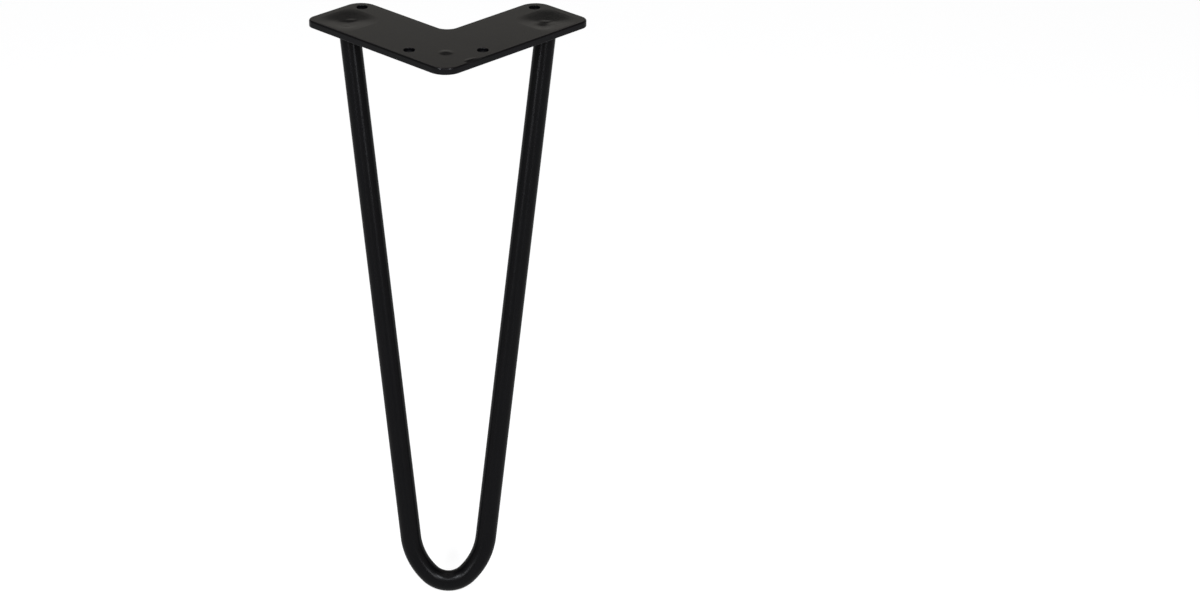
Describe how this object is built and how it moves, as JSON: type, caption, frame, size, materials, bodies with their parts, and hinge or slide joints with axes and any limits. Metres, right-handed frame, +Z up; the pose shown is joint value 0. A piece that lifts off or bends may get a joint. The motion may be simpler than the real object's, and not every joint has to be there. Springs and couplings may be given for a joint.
{
  "type": "hairpin table leg",
  "caption": "Hairpin table leg: a round bar bent to a narrow foot, raked and splayed, welded under a flat L-shaped corner plate with screw holes, powder coated black.",
  "frame": {"origin": "on the plate's top face, where the centre lines of its two arms cross", "axes": "+Z up out of the plate's top face, towards the table; the plate's outer corner points along -Y, its arms run to +X +Y and -X +Y, and the leg hangs along -Z"},
  "size_m": [0.1556, 0.1027, 0.3299],
  "materials": {
    "powder_coat": "satin black powder coat"
  },
  "bodies": {
    "root": {"mounting_plate": "powder_coat", "hairpin_rod": "powder_coat", "left_weld_bead": "powder_coat", "right_weld_bead": "powder_coat"}
  },
  "joints": []
}
